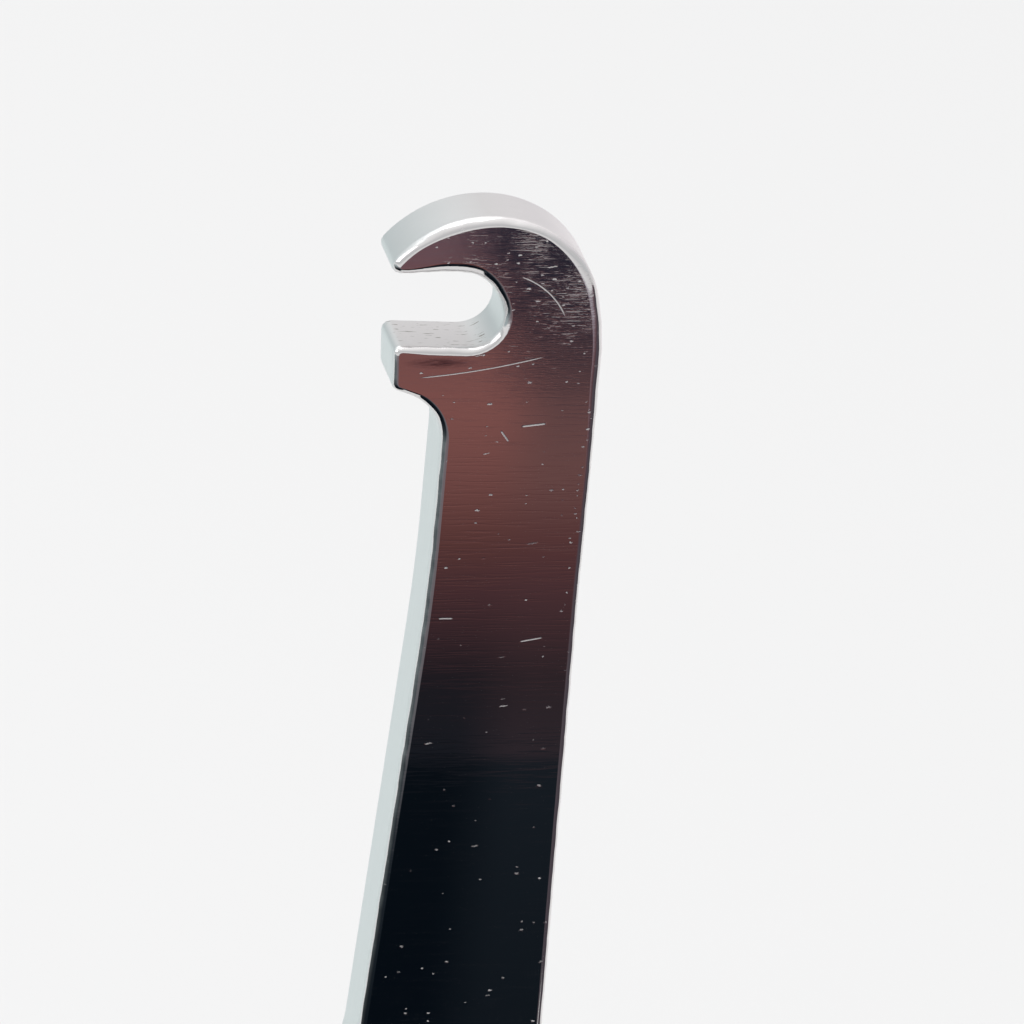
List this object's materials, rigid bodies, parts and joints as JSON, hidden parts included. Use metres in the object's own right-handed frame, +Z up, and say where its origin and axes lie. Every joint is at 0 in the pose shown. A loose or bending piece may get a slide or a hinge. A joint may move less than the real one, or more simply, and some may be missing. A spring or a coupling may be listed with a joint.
{
  "type": "divot repair tool",
  "caption": "Flat steel fork with a hooked handle end and a round magnetic seat that holds a lift-out ball marker",
  "frame": {"origin": "midway between the two prong tips, at the plate's mid thickness", "axes": "+Z up the tool from the prong tips to the hook, -Y out of the front face, -X towards the hook's mouth"},
  "size_m": [0.0244, 0.004, 0.12],
  "materials": {
    "polished_steel": "mirror-buffed front, satin ground edges and back",
    "magnet_nickel": "nickel-plated sintered magnet",
    "cured_adhesive": "cured epoxy",
    "coin_plating": "polished nickel plate over stamped steel",
    "band_enamel": "soft enamel",
    "field_enamel": "soft enamel",
    "clear_resin": "clear epoxy dome"
  },
  "bodies": {
    "tool": {"tool_body": "polished_steel", "seat_magnet": "magnet_nickel", "magnet_adhesive": "cured_adhesive"},
    "marker": {"marker_coin": "coin_plating", "marker_enamel_band": "band_enamel", "marker_enamel_field": "field_enamel", "marker_dome": "clear_resin"}
  },
  "joints": [
    {"name": "marker_lift", "type": "slide", "parent": "tool", "child": "marker", "axis": [0, -1, 0], "range_m": [0, 0.015]}
  ]
}
